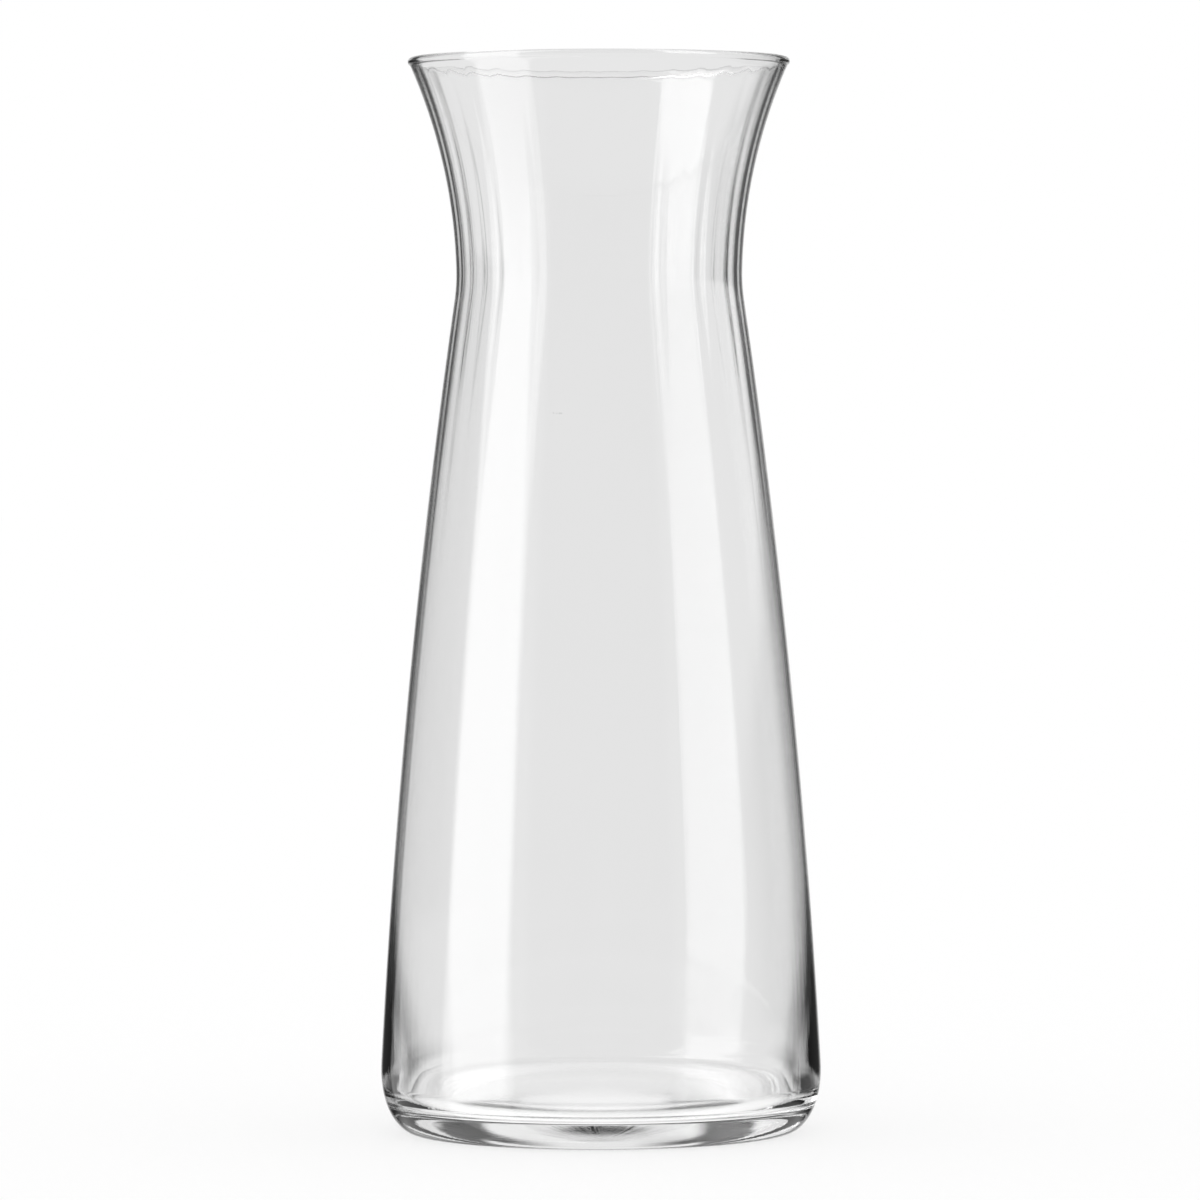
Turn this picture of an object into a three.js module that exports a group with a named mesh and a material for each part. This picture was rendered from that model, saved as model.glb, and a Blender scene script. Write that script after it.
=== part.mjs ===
// A glass carafe without a handle: one blown piece of clear glass with a heavy base, a slightly bowed body,
// a waisted neck and a flared mouth. Shallow upright flutes run round the inside of the neck and die away
// down the body. Millimetres, +Z up, origin at the centre of the base.
import * as THREE from "three";
import { mergeVertices } from "three/addons/utils/BufferGeometryUtils.js";

// Overall sizes
const HEIGHT = 250;
const FOOT_RADIUS = 51.3; // at the top of the heel
const WAIST_RADIUS = 33.3;
const WAIST_BELOW_RIM = 50.3;
const MOUTH_RADIUS = 44.45;

// Bends of the outside, each the radius of an arc
const BODY_BOW = 1995;
const WAIST_BEND = 42;
const FLARE_BEND = 126;

// Heel: the rounded edge between the side and the base
const HEEL_HEIGHT = 16.3;
const HEEL_INSET = 6.4; // from the side at the heel's top in to the edge of the base
const HEEL_DROP = 12.5; // how far the side's line runs on down before it turns under
const HEEL_TUCK = 1; // how far the base's flat runs on out before it turns up

// Underside: a flat ring that the carafe stands on, round a shallow hollow
const RING_WIDTH = 3.8;
const HOLLOW_DEPTH = 1.7;

// Thickness of the wall
const NECK_WALL = 1.15; // at the waist
const BELLY_WALL = 0.68; // where the body was blown thinnest
const BELLY_TOP = 55; // height from which the wall thickens again up to the waist
const FOOT_WALL = 5; // where the wall meets the floor
const FOOT_TAPER = 62; // height over which that thins to the belly's wall
const FOOT_CURVE = 2.4; // how soon it thins: 1 is evenly

// Floor: it rises from its edge to the middle
const FLOOR = 6.5; // height of the edge
const FLOOR_CORNER = 2; // radius between the floor and the wall
const FLOOR_RISE = 4.6;
const FLOOR_FALL = 2; // how the rise falls off: 1 is a plain dome, and 2 flattens out at the edge

// Rim: melted round, a little thicker than the wall below it
const LIP_WALL = 1.5; // just below the bead
const LIP_LENGTH = 22; // height over which the wall thickens to that
const RIM_BEAD = 2;
const BEAD_LENGTH = 0.8; // length of wall that swells into the bead

// Flutes on the inside
const FLUTE_COUNT = 36;
const FLUTE_DEPTH = 0.15; // at the waist
const FLUTE_RIM_DEPTH = 0.045;
const FLUTE_END = 90; // height of a flute's lower end
const FLUTE_TOP = 1.8; // how far below the rim its upper end is
const FLUTE_RUNOUT = 1.5; // length over which it fades out there

// Fineness of the outline and of the turn
const BODY_STEPS = 8;
const WAIST_STEPS = 3;
const FLARE_STEPS = 6;
const BEAD_STEPS = 2;
const HEEL_STEPS = 5;
const RIM_OUTSIDE_STEPS = 3; // up to the top of the bead
const RIM_INSIDE_STEPS = 2;
const CORNER_STEPS = 3;
const HOLLOW_STEPS = 3;
const FLOOR_STEPS = 5;
const STEPS_PER_FLUTE = 2;

const { clamp, lerp, smoothstep } = THREE.MathUtils;

// The outline lies in a plane through the axis: x is the radius and y the height.
const at = (radius, height) => new THREE.Vector2(radius, height);

// The point at the given distances from two points, on the right of the way from the first to the second.
function apexOf(first, firstDistance, second, secondDistance) {
  const way = second.clone().sub(first);
  const span = way.length();
  const along = (span ** 2 + firstDistance ** 2 - secondDistance ** 2) / (2 * span);
  const aside = Math.sqrt(firstDistance ** 2 - along ** 2);
  way.normalize();
  const right = at(way.y, -way.x);
  return first.clone().addScaledVector(way, along).addScaledVector(right, aside);
}

// Points along an arc, ends included, each with its direction from the centre.
function arc(centre, radius, startAngle, endAngle, steps) {
  return Array.from({ length: steps + 1 }, (_, i) => {
    const angle = lerp(startAngle, endAngle, i / steps);
    const direction = at(Math.cos(angle), Math.sin(angle));
    return { point: centre.clone().addScaledVector(direction, radius), direction };
  });
}

const angleFrom = (centre, point) => point.clone().sub(centre).angle();

// Centres of the three arcs of the side. The body bows out, the waist and the flare bow in, and each runs
// smoothly into the next. The flare ends in the rim's bead, which stands in the middle of the wall.
const waistCentre = at(WAIST_RADIUS + WAIST_BEND, HEIGHT - WAIST_BELOW_RIM);
const footPoint = at(FOOT_RADIUS, HEEL_HEIGHT);
const rimCentre = at(MOUTH_RADIUS - RIM_BEAD / 2, HEIGHT - RIM_BEAD / 2);
const bodyCentre = apexOf(waistCentre, BODY_BOW + WAIST_BEND, footPoint, BODY_BOW);
const flareCentre = apexOf(waistCentre, FLARE_BEND - WAIST_BEND, rimCentre, FLARE_BEND + LIP_WALL / 2);

// Directions where one arc hands over to the next
const bodyTop = angleFrom(bodyCentre, waistCentre);
const waistBottom = bodyTop + Math.PI;
const waistTop = angleFrom(flareCentre, waistCentre);
const flareTop = angleFrom(flareCentre, rimCentre);
const beadBottom = flareTop + BEAD_LENGTH / FLARE_BEND;

// The side from a given height on the body up to the rim. Each point has the way out of the glass, and how
// far the glass swells there towards the bead, the same outside as inside.
function side(bottomHeight) {
  const bodyBottom = Math.asin((bottomHeight - bodyCentre.y) / BODY_BOW);
  const body = arc(bodyCentre, BODY_BOW, bodyBottom, bodyTop, BODY_STEPS);
  const waist = arc(waistCentre, WAIST_BEND, waistBottom, waistTop, WAIST_STEPS).slice(1);
  const flare = arc(flareCentre, FLARE_BEND, waistTop, beadBottom, FLARE_STEPS).slice(1);
  const bead = arc(flareCentre, FLARE_BEND, beadBottom, flareTop, BEAD_STEPS).slice(1);
  const fullSwell = (RIM_BEAD - LIP_WALL) / 2;
  return [
    ...body.map(({ point, direction }) => ({ point, out: direction, swell: 0 })),
    ...[...waist, ...flare].map(({ point, direction }) => ({ point, out: direction.negate(), swell: 0 })),
    ...bead.map(({ point, direction }, i) => ({
      point,
      out: direction.negate(),
      swell: fullSwell * smoothstep((i + 1) / BEAD_STEPS, 0, 1),
    })),
  ];
}

function wallAt(height) {
  const bodyShare = clamp((height - BELLY_TOP) / (waistCentre.y - BELLY_TOP), 0, 1);
  const lipShare = Math.max(0, (height - HEIGHT + LIP_LENGTH) / LIP_LENGTH);
  const footShare = Math.max(0, 1 - (height - FLOOR - FLOOR_CORNER) / FOOT_TAPER);
  const body = lerp(BELLY_WALL, NECK_WALL, bodyShare);
  const upper = lerp(body, LIP_WALL, lipShare ** 2);
  return lerp(upper, FOOT_WALL, footShare ** FOOT_CURVE);
}

function fluteAt(height) {
  const waist = waistCentre.y;
  if (height < waist) return FLUTE_DEPTH * Math.max(0, (height - FLUTE_END) / (waist - FLUTE_END)) ** 3;
  const depth = lerp(FLUTE_DEPTH, FLUTE_RIM_DEPTH, (height - waist) / (HEIGHT - waist));
  const top = HEIGHT - FLUTE_TOP;
  return depth * (1 - smoothstep(height, top - FLUTE_RUNOUT, top));
}

// The whole outline, from the middle of the underside, out and up, over the rim and down to the middle of
// the floor. Each point also says how far the ridges between the flutes stand in there.
function outline() {
  const baseRadius = FOOT_RADIUS - HEEL_INSET;
  const hollowRadius = baseRadius - RING_WIDTH;
  const hollowBend = (hollowRadius ** 2 + HOLLOW_DEPTH ** 2) / (2 * HOLLOW_DEPTH);
  const hollowCentre = at(0, HOLLOW_DEPTH - hollowBend);
  const hollowEdge = angleFrom(hollowCentre, at(hollowRadius, 0));
  const underside = arc(hollowCentre, hollowBend, Math.PI / 2, hollowEdge, HOLLOW_STEPS).slice(1);

  const outside = side(HEEL_HEIGHT);
  const sideDown = at(outside[0].out.y, -outside[0].out.x);
  const heel = new THREE.CubicBezierCurve(
    at(baseRadius, 0),
    at(baseRadius + HEEL_TUCK, 0),
    footPoint.clone().addScaledVector(sideDown, HEEL_DROP),
    footPoint,
  );

  const rim = [
    ...arc(rimCentre, RIM_BEAD / 2, flareTop - Math.PI, Math.PI / 2, RIM_OUTSIDE_STEPS).slice(1),
    ...arc(rimCentre, RIM_BEAD / 2, Math.PI / 2, flareTop, RIM_INSIDE_STEPS).slice(1, -1),
  ];

  const inside = side(FLOOR + FLOOR_CORNER).reverse();
  inside.forEach(({ point, out, swell }) => point.addScaledVector(out, -wallAt(point.y) - swell));
  const insideFoot = inside[inside.length - 1].point;
  const cornerCentre = at(insideFoot.x - FLOOR_CORNER, FLOOR + FLOOR_CORNER);
  const corner = arc(cornerCentre, FLOOR_CORNER, 0, -Math.PI / 2, CORNER_STEPS).slice(1);
  const floor = Array.from({ length: FLOOR_STEPS }, (_, i) => {
    const share = 1 - (i + 1) / FLOOR_STEPS;
    return at(cornerCentre.x * share, FLOOR + FLOOR_RISE * (1 - share ** 2) ** FLOOR_FALL);
  });

  const plain = (point) => ({ point, flute: 0 });
  return [
    plain(at(0, HOLLOW_DEPTH)),
    ...underside.map(({ point }) => plain(point)),
    ...heel.getPoints(HEEL_STEPS).map(plain),
    ...outside.slice(1).map(({ point, out, swell }) => plain(point.addScaledVector(out, swell))),
    ...rim.map(({ point }) => plain(point)),
    ...inside.map(({ point }) => ({ point, flute: fluteAt(point.y) })),
    ...corner.map(({ point }) => plain(point)),
    ...floor.map(plain),
  ];
}

// The turned outline, with the ridges between the flutes drawn in towards the axis. A flute faces -Y.
function glassGeometry() {
  const points = outline();
  const turned = new THREE.LatheGeometry(
    points.map(({ point }) => point),
    FLUTE_COUNT * STEPS_PER_FLUTE,
  );
  turned.rotateX(Math.PI / 2);
  const position = turned.getAttribute("position");
  for (let i = 0; i < position.count; i++) {
    const { point, flute } = points[i % points.length];
    if (flute === 0) continue;
    const flutesRound = Math.floor(i / points.length) / STEPS_PER_FLUTE;
    const fromMiddle = 2 * Math.abs(flutesRound - Math.round(flutesRound));
    const drawnIn = 1 - (flute * fromMiddle ** 2) / point.x;
    position.setXY(i, position.getX(i) * drawnIn, position.getY(i) * drawnIn);
  }
  turned.deleteAttribute("normal");
  turned.deleteAttribute("uv");
  const closed = mergeVertices(turned);
  closed.computeVertexNormals();
  return closed;
}

const glass = new THREE.MeshStandardMaterial({
  color: 0xf2f4f4,
  roughness: 0.02,
  metalness: 0,
  transparent: true,
  opacity: 0.35,
});

const glassBody = new THREE.Mesh(glassGeometry(), glass);
glassBody.name = "glass_body";

const carafe = new THREE.Group();
carafe.add(glassBody);

export default carafe;
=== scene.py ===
import math

import bpy
from mathutils import Matrix, Vector


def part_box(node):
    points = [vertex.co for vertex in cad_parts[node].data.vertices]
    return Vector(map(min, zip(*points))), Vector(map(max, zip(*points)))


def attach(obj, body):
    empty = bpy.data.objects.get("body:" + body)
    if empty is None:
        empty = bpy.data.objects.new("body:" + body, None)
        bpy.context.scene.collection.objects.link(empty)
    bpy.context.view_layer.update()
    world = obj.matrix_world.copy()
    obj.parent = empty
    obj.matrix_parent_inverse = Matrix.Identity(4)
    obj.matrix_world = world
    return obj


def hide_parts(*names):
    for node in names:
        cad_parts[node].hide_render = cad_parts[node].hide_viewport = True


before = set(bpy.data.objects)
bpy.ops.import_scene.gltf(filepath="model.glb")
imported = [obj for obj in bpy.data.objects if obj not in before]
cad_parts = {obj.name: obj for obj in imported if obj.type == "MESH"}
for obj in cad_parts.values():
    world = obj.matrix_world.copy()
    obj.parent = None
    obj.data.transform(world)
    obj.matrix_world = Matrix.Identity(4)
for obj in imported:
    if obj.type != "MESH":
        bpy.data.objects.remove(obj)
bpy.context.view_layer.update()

# Glass carafe: one blown piece of clear glass on a plain white floor, in a soft-lit studio.
# Metres, +Z up, origin at the centre of the base, as in the frame.
MM = 0.001
_, high_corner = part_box("glass_body")

# Overall sizes
HEIGHT = high_corner.z
FOOT_RADIUS = high_corner.x
WAIST_RADIUS = 33.3 * MM
WAIST_BELOW_RIM = 50.3 * MM
MOUTH_RADIUS = 44.45 * MM

# Bends of the outside, each the radius of an arc
BODY_BOW = 1995 * MM
WAIST_BEND = 42 * MM
FLARE_BEND = 126 * MM

# Heel: the rounded edge between the side and the base
HEEL_HEIGHT = 16.3 * MM
HEEL_INSET = 6.4 * MM  # from the side at the heel's top in to the edge of the base
HEEL_DROP = 12.5 * MM  # how far the side's line runs on down before it turns under
HEEL_TUCK = 1 * MM  # how far the base's flat runs on out before it turns up

# Underside: a flat ring round a shallow hollow
RING_WIDTH = 3.8 * MM
HOLLOW_DEPTH = 1.7 * MM

# Thickness of the wall
NECK_WALL = 1.15 * MM  # at the waist
BELLY_WALL = 0.68 * MM  # where the body was blown thinnest
BELLY_TOP = 55 * MM  # height from which the wall thickens again up to the waist
FOOT_WALL = 5 * MM  # where the wall meets the floor
FOOT_TAPER = 62 * MM  # height over which that thins to the belly's wall
FOOT_CURVE = 2.4  # how soon it thins: 1 is evenly

# Floor inside the carafe: it rises from its edge to the middle
FLOOR = 6.5 * MM  # height of the edge
FLOOR_CORNER = 2 * MM  # radius between the floor and the wall
FLOOR_RISE = 4.6 * MM
FLOOR_FALL = 2  # how the rise falls off: 1 is a plain dome, and 2 flattens out at the edge

# Rim: melted round, a little thicker than the wall below it
LIP_WALL = 1.5 * MM  # just below the bead
LIP_LENGTH = 22 * MM  # height over which the wall thickens to that
LIP_CURVE = 2  # how late it thickens: 1 is evenly
RIM_BEAD = 2 * MM
BEAD_LENGTH = 0.8 * MM  # length of wall that swells into the bead

# Flutes on the inside
FLUTE_COUNT = 36
FLUTE_DEPTH = 0.15 * MM  # at the waist
FLUTE_CURVE = 3  # how late it deepens up to there: 1 is evenly
FLUTE_RIM_DEPTH = 0.045 * MM
FLUTE_END = 90 * MM  # height of a flute's lower end
FLUTE_TOP = 1.8 * MM  # how far below the rim its upper end is
FLUTE_RUNOUT = 1.5 * MM  # length over which it fades out there
FLUTE_HOLLOW = 0.875  # share of a flute that is hollow; the rest is the round of its ridges

# Look of the glass
GLASS_IOR = 1.5
STREAK_COUNT = 34  # noise cells across one radius
STREAK_COUNT_UP = 0.35  # how many radii one metre of height counts for
STREAK_DETAIL = 3
STREAK_DEPTH = 0.008 * MM
TINT = 0.012
TINT_SCALE = 30  # noise cells in a metre
TINT_DETAIL = 2
SEED_SCALE = 18  # cells in a metre, each with one place for a seed
SEED_RADIUS = 0.3 * MM
SEED_SHADE = 0.6

# Fineness of the mesh
BODY_STEPS = 60
WAIST_STEPS = 14
FLARE_STEPS = 34
BEAD_STEPS = 6
HEEL_STEPS = 26
RIM_STEPS = 16
CORNER_STEPS = 12
HOLLOW_STEPS = 14
FLOOR_STEPS = 14
STEPS_PER_FLUTE = 8

# Camera: level with the upper body, looking down a little
IMAGE_SIDE = 1200
PIXELS_PER_METRE = 4291  # at the object's axis
CAMERA_DISTANCE = 1.65
CAMERA_HEIGHT = 172 * MM
CAMERA_ROLL = math.radians(-0.13)
CAMERA_REACH = 100
BASE_ROW = 1129.5  # of the middle of the base
SENSOR = 36  # millimetres across

# Ground that the carafe stands on
GROUND_SIDE = 16
GROUND_GAP = 0.2 * MM  # below the base, so that the two don't touch
GROUND_MATT = 0.3  # share of its white that is lit, and so takes a shadow; the rest glows

# Bounces of light
LIGHT_BOUNCES = 24
MIRROR_BOUNCES = 7  # after which light that is trapped in the glass is lost

# Light of the studio, where 1 is the white of the background
BACKDROP = 0.81
ROOM = 0.73
LEFT_FLAG = 0.06
RIGHT_FLAG = 0.06
FRONT = 0.62
CEILING = 0.4
TABLE = 0.75
UNDER_PAINTED_GLOW = 1.1  # painted glow of the table close under the glass, brighter than the white
UNDER_MIDDLE_PAINTED_SHADE = 0.8  # painted shade under the middle of the base, where less light comes in
SOFTBOX = 3
SOFTBOX_FOOT = 2

# How far from the axis the painted glow and painted shade close under the glass change
PAINTED_GLOW_EDGE = (40 * MM, 47 * MM)
PAINTED_SHADE_EDGE = (8 * MM, 36 * MM)

# Where the things of the studio stand, in degrees: azimuths clockwise from straight behind the object,
# elevations from the level
HALF_TURN = 180
BACKDROP_SIDES = (-12, 14)
BACKDROP_SOFT = 15
BACKDROP_TOP = (34, 46)
UPPER_SIDES = (-21, 25)  # of the backdrop above the upper edge, where it is wider
UPPER_SOFT = 5
UPPER_EDGE = (3.5, 5.5)
LEFT_FLAG_SIDES = (-36, 1)
LEFT_FLAG_SOFT = 4
RIGHT_FLAG_SIDES = (-6, 40)
RIGHT_FLAG_SOFT = 6
WIDE_FLAG_SIDES = (-6, 88)  # of the right flag from its foot up to the upper edge
WIDE_FLAG_SOFT = 40
WIDE_FLAG_FOOT = (-20, -14)
FRONT_SIDES = (139, 221)
FRONT_SOFT = 6
SOFTBOX_SIDES = (-130, -88)
SOFTBOX_SOFT = 8
SOFTBOX_FADE = (-36, 11)  # over which it brightens from its foot up
CEILING_EDGE = (45, 56)
TABLE_EDGE = (-22, -14)


def lerp(start, end, share):
    return start + (end - start) * share


def smoothstep(value, low, high):
    share = min(1, max(0, (value - low) / (high - low)))
    return share * share * (3 - 2 * share)


# The outline lies in a plane through the axis: x is the radius and y the height.
def at(radius, height):
    return Vector((radius, height))


def angle_from(centre, point):
    way = point - centre
    return math.atan2(way.y, way.x) % math.tau


def apex_of(first, first_distance, second, second_distance):
    """The point at the given distances from two points, on the right of the way from first to second."""
    way = second - first
    span = way.length
    along = (span**2 + first_distance**2 - second_distance**2) / (2 * span)
    aside = math.sqrt(first_distance**2 - along**2)
    way.normalize()
    return first + way * along + at(way.y, -way.x) * aside


def arc(centre, radius, start_angle, end_angle, steps):
    """Points along an arc, ends included, each with its direction from the centre."""
    made = []
    for i in range(steps + 1):
        angle = lerp(start_angle, end_angle, i / steps)
        direction = at(math.cos(angle), math.sin(angle))
        made.append((centre + direction * radius, direction))
    return made


# Centres of the three arcs of the side, and the directions where one arc hands over to the next
waist_centre = at(WAIST_RADIUS + WAIST_BEND, HEIGHT - WAIST_BELOW_RIM)
foot_point = at(FOOT_RADIUS, HEEL_HEIGHT)
rim_centre = at(MOUTH_RADIUS - RIM_BEAD / 2, HEIGHT - RIM_BEAD / 2)
body_centre = apex_of(waist_centre, BODY_BOW + WAIST_BEND, foot_point, BODY_BOW)
flare_centre = apex_of(waist_centre, FLARE_BEND - WAIST_BEND, rim_centre, FLARE_BEND + LIP_WALL / 2)
body_top = angle_from(body_centre, waist_centre)
waist_bottom = body_top + math.pi
waist_top = angle_from(flare_centre, waist_centre)
flare_top = angle_from(flare_centre, rim_centre)
bead_bottom = flare_top + BEAD_LENGTH / FLARE_BEND


def side(bottom_height):
    """The side from a height on the body up to the rim.

    Each point comes with the way out of the glass and how far the glass swells there towards the bead.
    """
    body_bottom = math.asin((bottom_height - body_centre.y) / BODY_BOW)
    body = arc(body_centre, BODY_BOW, body_bottom, body_top, BODY_STEPS)
    waist = arc(waist_centre, WAIST_BEND, waist_bottom, waist_top, WAIST_STEPS)[1:]
    flare = arc(flare_centre, FLARE_BEND, waist_top, bead_bottom, FLARE_STEPS)[1:]
    bead = arc(flare_centre, FLARE_BEND, bead_bottom, flare_top, BEAD_STEPS)[1:]
    full_swell = (RIM_BEAD - LIP_WALL) / 2
    made = [(point, direction, 0) for point, direction in body]
    made += [(point, -direction, 0) for point, direction in waist + flare]
    for i, (point, direction) in enumerate(bead, 1):
        made.append((point, -direction, full_swell * smoothstep(i / BEAD_STEPS, 0, 1)))
    return made


def wall_at(height):
    body_share = min(1, max(0, (height - BELLY_TOP) / (waist_centre.y - BELLY_TOP)))
    lip_share = max(0, (height - (HEIGHT - LIP_LENGTH)) / LIP_LENGTH)
    foot_share = max(0, 1 - (height - FLOOR - FLOOR_CORNER) / FOOT_TAPER)
    body = lerp(BELLY_WALL, NECK_WALL, body_share)
    upper = lerp(body, LIP_WALL, lip_share**LIP_CURVE)
    return lerp(upper, FOOT_WALL, foot_share**FOOT_CURVE)


def flute_at(height):
    waist = waist_centre.y
    if height < waist:
        return FLUTE_DEPTH * max(0, (height - FLUTE_END) / (waist - FLUTE_END)) ** FLUTE_CURVE
    depth = lerp(FLUTE_DEPTH, FLUTE_RIM_DEPTH, (height - waist) / (HEIGHT - waist))
    top = HEIGHT - FLUTE_TOP
    return depth * (1 - smoothstep(height, top - FLUTE_RUNOUT, top))


def ridge(share):
    """How far in the glass stands across a flute: 0 in its middle, 1 on the rounded ridge beside it."""
    if share < FLUTE_HOLLOW:
        return share**2 / FLUTE_HOLLOW
    return 1 - (1 - share) ** 2 / (1 - FLUTE_HOLLOW)


def bezier(first, second, third, fourth, steps):
    made = []
    for i in range(steps + 1):
        t = i / steps
        u = 1 - t
        made.append(first * u**3 + second * (3 * u * u * t) + third * (3 * u * t * t) + fourth * t**3)
    return made


def outline():
    """The whole outline, from the middle of the underside over the rim to the middle of the floor.

    Each point comes with how far the ridges between the flutes stand in there.
    """
    base_radius = FOOT_RADIUS - HEEL_INSET
    hollow_radius = base_radius - RING_WIDTH
    hollow_bend = (hollow_radius**2 + HOLLOW_DEPTH**2) / (2 * HOLLOW_DEPTH)
    hollow_centre = at(0, HOLLOW_DEPTH - hollow_bend)
    hollow_edge = angle_from(hollow_centre, at(hollow_radius, 0))
    hollow = arc(hollow_centre, hollow_bend, math.pi / 2, hollow_edge, HOLLOW_STEPS)
    underside = [point for point, _ in hollow]

    outside = side(HEEL_HEIGHT)
    first_out = outside[0][1]
    side_down = at(first_out.y, -first_out.x)
    heel = bezier(
        at(base_radius, 0),
        at(base_radius + HEEL_TUCK, 0),
        foot_point + side_down * HEEL_DROP,
        foot_point,
        HEEL_STEPS,
    )

    bead = arc(rim_centre, RIM_BEAD / 2, flare_top - math.pi, flare_top, RIM_STEPS)
    rim = [point for point, _ in bead]

    inside = []
    for point, out, swell in reversed(side(FLOOR + FLOOR_CORNER)):
        inside.append(point - out * (wall_at(point.y) + swell))
    corner_centre = at(inside[-1].x - FLOOR_CORNER, FLOOR + FLOOR_CORNER)
    corner = [point for point, _ in arc(corner_centre, FLOOR_CORNER, 0, -math.pi / 2, CORNER_STEPS)]
    floor = []
    for i in range(FLOOR_STEPS + 1):
        share = 1 - i / FLOOR_STEPS
        floor.append(at(corner[-1].x * share, FLOOR + FLOOR_RISE * (1 - share**2) ** FLOOR_FALL))

    swollen = [point + out * swell for point, out, swell in outside[1:]]
    made = [(point, 0) for point in underside + heel + swollen + rim[1:-1]]
    made += [(point, flute_at(point.y)) for point in inside]
    made += [(point, 0) for point in corner[1:] + floor[1:]]
    return made


def glass_mesh():
    """The outline turned round the axis, with the ridges between the flutes drawn in."""
    points = outline()
    count = FLUTE_COUNT * STEPS_PER_FLUTE
    rings = points[1:-1]
    vertices = [Vector((0, 0, points[0][0].y))]
    for point, flute in rings:
        for step in range(count):
            flutes_round = step / STEPS_PER_FLUTE
            from_middle = 2 * abs(flutes_round - round(flutes_round))
            radius = point.x - flute * ridge(from_middle)
            turn = math.tau * step / count
            vertices.append(Vector((radius * math.sin(turn), -radius * math.cos(turn), point.y)))
    vertices.append(Vector((0, 0, points[-1][0].y)))
    last = len(vertices) - 1

    faces = []
    for step in range(count):
        after = (step + 1) % count
        faces.append((0, 1 + after, 1 + step))
        for ring in range(len(rings) - 1):
            below = 1 + ring * count
            above = below + count
            faces.append((below + step, below + after, above + after, above + step))
        top = 1 + (len(rings) - 1) * count
        faces.append((top + step, top + after, last))
    mesh = bpy.data.meshes.new("carafe_glass")
    mesh.from_pydata(vertices, [], faces)
    mesh.shade_smooth()
    mesh.validate()
    return mesh


def add_node(tree, kind, **settings):
    node = tree.nodes.new(kind)
    for name, value in settings.items():
        setattr(node, name, value)
    return node


def feed(tree, value, socket):
    """Links a node's result to a socket, or writes a plain value into it."""
    if isinstance(value, bpy.types.NodeSocket):
        tree.links.new(value, socket)
    else:
        socket.default_value = value


def calc(tree, operation, *values, kind="ShaderNodeMath"):
    """The first result of a Math node, or of a Vector Math node, from values or other nodes' results."""
    node = add_node(tree, kind, operation=operation)
    for socket, value in zip(node.inputs, values):
        feed(tree, value, socket)
    return node.outputs[0]


def fade(tree, value, start, end):
    """1 where a value is at or before start, 0 at or after end, smooth between."""
    node = add_node(tree, "ShaderNodeMapRange", interpolation_type="SMOOTHSTEP")
    tree.links.new(value, node.inputs["Value"])
    node.inputs["From Min"].default_value = start
    node.inputs["From Max"].default_value = end
    node.inputs["To Min"].default_value = 1
    node.inputs["To Max"].default_value = 0
    return node.outputs["Result"]


def glass_material():
    """Clear glass with faint upright streaks, a faint cloud in its tint and a few tiny seeds."""
    material = bpy.data.materials.new("clear_glass")
    material.use_nodes = True
    tree = material.node_tree
    shader = tree.nodes["Principled BSDF"]
    shader.inputs["Roughness"].default_value = 0
    shader.inputs["IOR"].default_value = GLASS_IOR
    shader.inputs["Transmission Weight"].default_value = 1
    place = add_node(tree, "ShaderNodeTexCoord").outputs["Object"]

    def vector(operation, *values):
        return calc(tree, operation, *values, kind="ShaderNodeVectorMath")

    def noise(where, scale, detail):
        node = add_node(tree, "ShaderNodeTexNoise")
        node.inputs["Scale"].default_value = scale
        node.inputs["Detail"].default_value = detail
        tree.links.new(where, node.inputs["Vector"])
        return node.outputs["Fac"]

    def clear_of(shade, depth):
        return calc(tree, "SUBTRACT", 1, calc(tree, "MULTIPLY", shade, depth))

    round_axis = vector("NORMALIZE", vector("MULTIPLY", place, (1, 1, 0)))
    along_axis = vector("MULTIPLY", place, (0, 0, STREAK_COUNT_UP))
    streaks = noise(vector("ADD", round_axis, along_axis), STREAK_COUNT, STREAK_DETAIL)
    bump = add_node(tree, "ShaderNodeBump")
    bump.inputs["Strength"].default_value = 1
    bump.inputs["Distance"].default_value = STREAK_DEPTH
    tree.links.new(streaks, bump.inputs["Height"])
    tree.links.new(bump.outputs[0], shader.inputs["Normal"])

    cloud = noise(place, TINT_SCALE, TINT_DETAIL)
    cells = add_node(tree, "ShaderNodeTexVoronoi")
    cells.inputs["Scale"].default_value = SEED_SCALE
    tree.links.new(place, cells.inputs["Vector"])
    seed_edge = SEED_RADIUS * SEED_SCALE
    seeds = fade(tree, cells.outputs["Distance"], seed_edge / 2, seed_edge)
    clear = calc(tree, "MULTIPLY", clear_of(cloud, TINT), clear_of(seeds, SEED_SHADE))
    tint = add_node(tree, "ShaderNodeCombineColor")
    for socket in tint.inputs[:3]:
        tree.links.new(clear, socket)
    tree.links.new(tint.outputs[0], shader.inputs["Base Color"])
    return material


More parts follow.
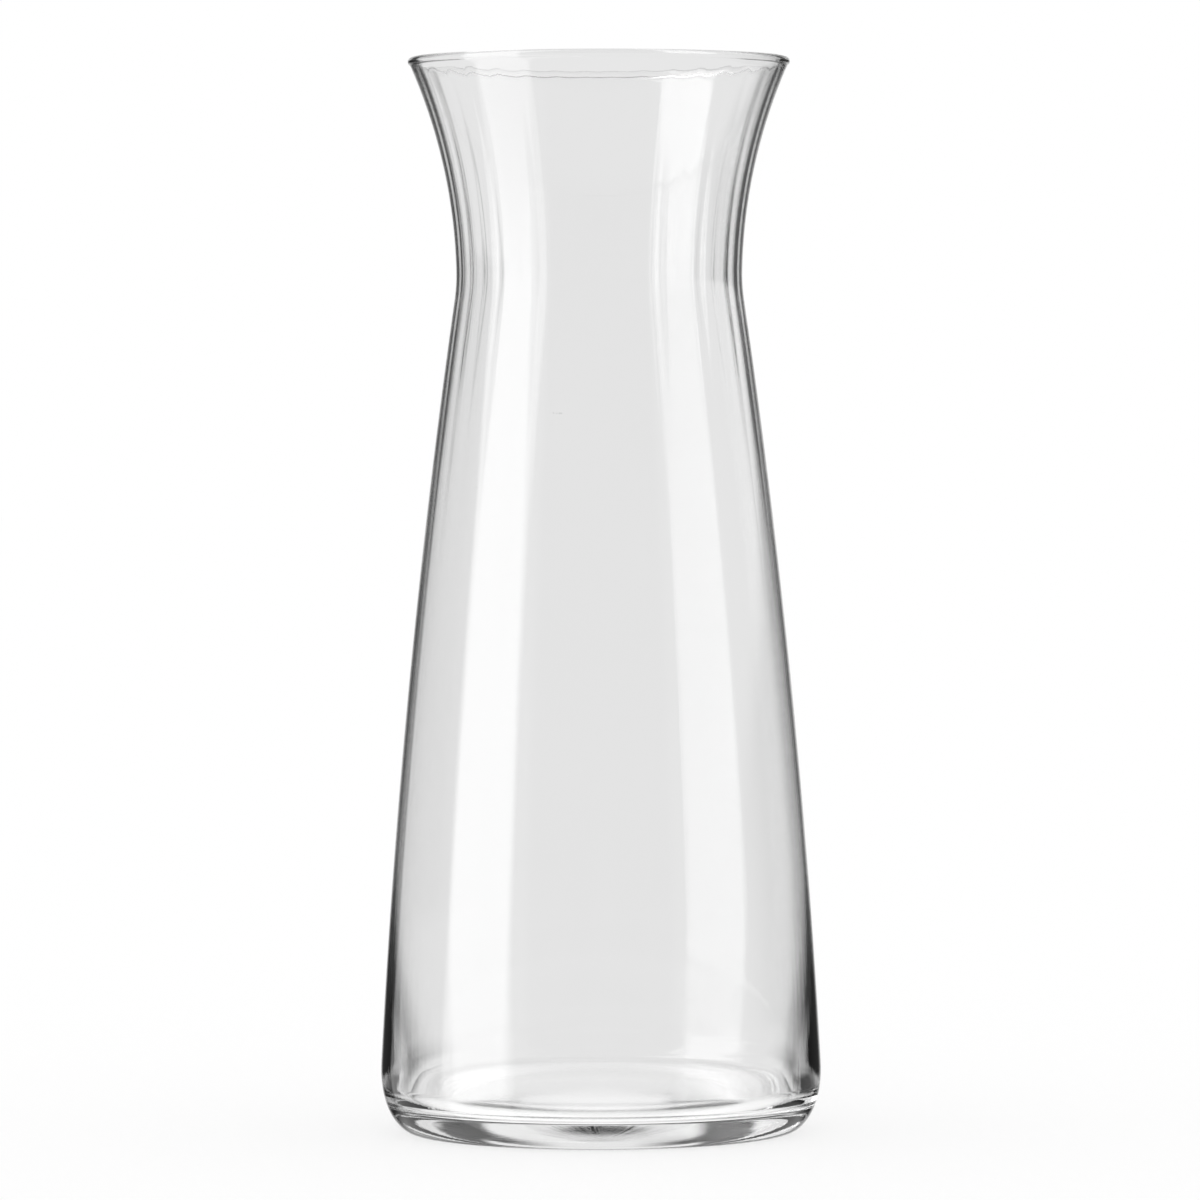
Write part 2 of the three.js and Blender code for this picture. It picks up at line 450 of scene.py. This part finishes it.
def studio_world():
    """White to the camera and on matt surfaces, and a studio in what the glass mirrors and refracts.

    The studio is a backdrop between dark flags, one tall softbox on the left and a pale room.
    """
    world = bpy.data.worlds.new("studio")
    world.use_nodes = True
    tree = world.node_tree
    tree.nodes.clear()
    place = add_node(tree, "ShaderNodeTexCoord").outputs["Generated"]
    split = add_node(tree, "ShaderNodeSeparateXYZ")
    tree.links.new(place, split.inputs[0])
    x, y, z = split.outputs
    azimuth = calc(tree, "DEGREES", calc(tree, "ARCTAN2", x, y))
    elevation = calc(tree, "DEGREES", calc(tree, "ARCSINE", z))
    path = add_node(tree, "ShaderNodeLightPath")

    def across(sides, soft):
        """1 between two azimuths, with soft edges."""
        low, high = sides
        turned = calc(tree, "SUBTRACT", azimuth, (low + high) / 2)
        off = calc(tree, "ABSOLUTE", calc(tree, "WRAP", turned, HALF_TURN, -HALF_TURN))
        half = (high - low) / 2
        return fade(tree, off, half - soft / 2, half + soft / 2)

    def toward(level, value, share):
        node = add_node(tree, "ShaderNodeMix", data_type="FLOAT")
        tree.links.new(share, node.inputs["Factor"])
        feed(tree, level, node.inputs["A"])
        feed(tree, value, node.inputs["B"])
        return node.outputs["Result"]

    def at_least_once(depth):
        """1 for a ray that has bounced in the named way: a half parts no bounces from one or more."""
        return calc(tree, "GREATER_THAN", path.outputs[depth], 0.5)

    below = fade(tree, elevation, *UPPER_EDGE)
    between = calc(tree, "SUBTRACT", below, fade(tree, elevation, *WIDE_FLAG_FOOT))
    narrow = across(RIGHT_FLAG_SIDES, RIGHT_FLAG_SOFT)
    wide = across(WIDE_FLAG_SIDES, WIDE_FLAG_SOFT)
    level = toward(ROOM, RIGHT_FLAG, toward(narrow, wide, between))
    level = toward(level, LEFT_FLAG, across(LEFT_FLAG_SIDES, LEFT_FLAG_SOFT))
    level = toward(level, FRONT, across(FRONT_SIDES, FRONT_SOFT))
    level = toward(CEILING, level, fade(tree, elevation, *CEILING_EDGE))
    level = toward(level, TABLE, fade(tree, elevation, *TABLE_EDGE))

    lower = across(BACKDROP_SIDES, BACKDROP_SOFT)
    upper = across(UPPER_SIDES, UPPER_SOFT)
    backdrop = toward(upper, lower, below)
    backdrop = calc(tree, "MULTIPLY", backdrop, fade(tree, elevation, *BACKDROP_TOP))
    backdrop = calc(tree, "MULTIPLY", backdrop, BACKDROP)
    level = calc(tree, "MAXIMUM", level, backdrop)

    # The softbox shows in mirrored rays alone: straight through the glass it would fill the side view.
    box_level = toward(SOFTBOX, SOFTBOX_FOOT, fade(tree, elevation, *SOFTBOX_FADE))
    softbox = calc(tree, "MULTIPLY", across(SOFTBOX_SIDES, SOFTBOX_SOFT), box_level)
    softbox = calc(tree, "MULTIPLY", softbox, at_least_once("Glossy Depth"))
    level = calc(tree, "MAXIMUM", level, softbox)

    plain = calc(tree, "MAXIMUM", path.outputs["Is Camera Ray"], at_least_once("Diffuse Depth"))
    shine = add_node(tree, "ShaderNodeBackground")
    shine.inputs["Color"].default_value = (1, 1, 1, 1)
    tree.links.new(toward(level, 1, plain), shine.inputs["Strength"])
    output = add_node(tree, "ShaderNodeOutputWorld")
    tree.links.new(shine.outputs[0], output.inputs["Surface"])
    world.cycles.sampling_method = "NONE"
    bpy.context.scene.world = world


def floor_material():
    """White to the camera, with the object's shadow.

    Glass sees a painted glow of the table close under the object, with painted shade under the middle of
    the base, and the studio beyond.
    """
    material = bpy.data.materials.new("white_floor")
    material.use_nodes = True
    tree = material.node_tree
    tree.nodes.clear()
    matt = add_node(tree, "ShaderNodeBsdfDiffuse")
    matt.inputs["Color"].default_value = (GROUND_MATT, GROUND_MATT, GROUND_MATT, 1)
    glow = add_node(tree, "ShaderNodeEmission")
    glow.inputs["Strength"].default_value = 1 - GROUND_MATT
    lit = add_node(tree, "ShaderNodeAddShader")
    tree.links.new(matt.outputs[0], lit.inputs[0])
    tree.links.new(glow.outputs[0], lit.inputs[1])

    position = add_node(tree, "ShaderNodeNewGeometry").outputs["Position"]
    length = add_node(tree, "ShaderNodeVectorMath", operation="LENGTH")
    tree.links.new(position, length.inputs[0])
    from_axis = length.outputs["Value"]
    # painted shade: as glass sees it, the table is darker under the middle of the base
    middle = fade(tree, from_axis, *PAINTED_SHADE_EDGE)
    # painted light: the table under the glass glows brighter than the white, for rays the glass mirrors
    # or lets through
    table = add_node(tree, "ShaderNodeEmission")
    painted_glow_and_shade = calc(tree, "MULTIPLY_ADD", middle, UNDER_MIDDLE_PAINTED_SHADE - UNDER_PAINTED_GLOW, UNDER_PAINTED_GLOW)
    tree.links.new(painted_glow_and_shade, table.inputs["Strength"])

    def mix(share, first, second):
        node = add_node(tree, "ShaderNodeMixShader")
        for socket, value in zip(node.inputs, (share, first, second)):
            tree.links.new(value, socket)
        return node.outputs[0]

    clear = add_node(tree, "ShaderNodeBsdfTransparent")
    seen = mix(fade(tree, from_axis, *PAINTED_GLOW_EDGE), clear.outputs[0], table.outputs[0])
    path = add_node(tree, "ShaderNodeLightPath")
    by_glass = calc(tree, "MAXIMUM", path.outputs["Is Glossy Ray"], path.outputs["Is Transmission Ray"])
    output = add_node(tree, "ShaderNodeOutputMaterial")
    tree.links.new(mix(by_glass, lit.outputs[0], seen), output.inputs["Surface"])
    return material


def add_floor():
    half = GROUND_SIDE / 2
    corners = [(-half, -half), (half, -half), (half, half), (-half, half)]
    mesh = bpy.data.meshes.new("floor")
    mesh.from_pydata([(x, y, -GROUND_GAP) for x, y in corners], [], [(0, 1, 2, 3)])
    mesh.materials.append(floor_material())
    floor = bpy.data.objects.new("floor", mesh)
    bpy.context.scene.collection.objects.link(floor)


def add_camera():
    """A camera tilted down so far that the base stands where the photograph has it."""
    data = bpy.data.cameras.new("camera")
    frame_width = IMAGE_SIDE / PIXELS_PER_METRE
    data.sensor_width = SENSOR
    data.lens = SENSOR * CAMERA_DISTANCE / frame_width
    data.clip_end = CAMERA_REACH
    camera = bpy.data.objects.new("camera", data)
    below_middle = (BASE_ROW - IMAGE_SIDE / 2) / PIXELS_PER_METRE
    tilt = math.atan2(CAMERA_HEIGHT, CAMERA_DISTANCE) - math.atan2(below_middle, CAMERA_DISTANCE)
    upright = Matrix.Rotation(math.pi / 2 - tilt, 4, "X")
    roll = Matrix.Rotation(CAMERA_ROLL, 4, "Z")
    camera.matrix_world = Matrix.Translation((0, -CAMERA_DISTANCE, CAMERA_HEIGHT)) @ upright @ roll
    bpy.context.scene.collection.objects.link(camera)
    bpy.context.scene.camera = camera


def add_glass():
    mesh = glass_mesh()
    mesh.materials.append(glass_material())
    glass = bpy.data.objects.new("carafe_glass", mesh)
    bpy.context.scene.collection.objects.link(glass)
    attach(glass, "root")
    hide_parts("glass_body")


add_camera()
add_glass()
add_floor()
studio_world()

scene = bpy.context.scene
scene.view_settings.view_transform = "Standard"
scene.cycles.max_bounces = LIGHT_BOUNCES
scene.cycles.transmission_bounces = LIGHT_BOUNCES
scene.cycles.glossy_bounces = MIRROR_BOUNCES
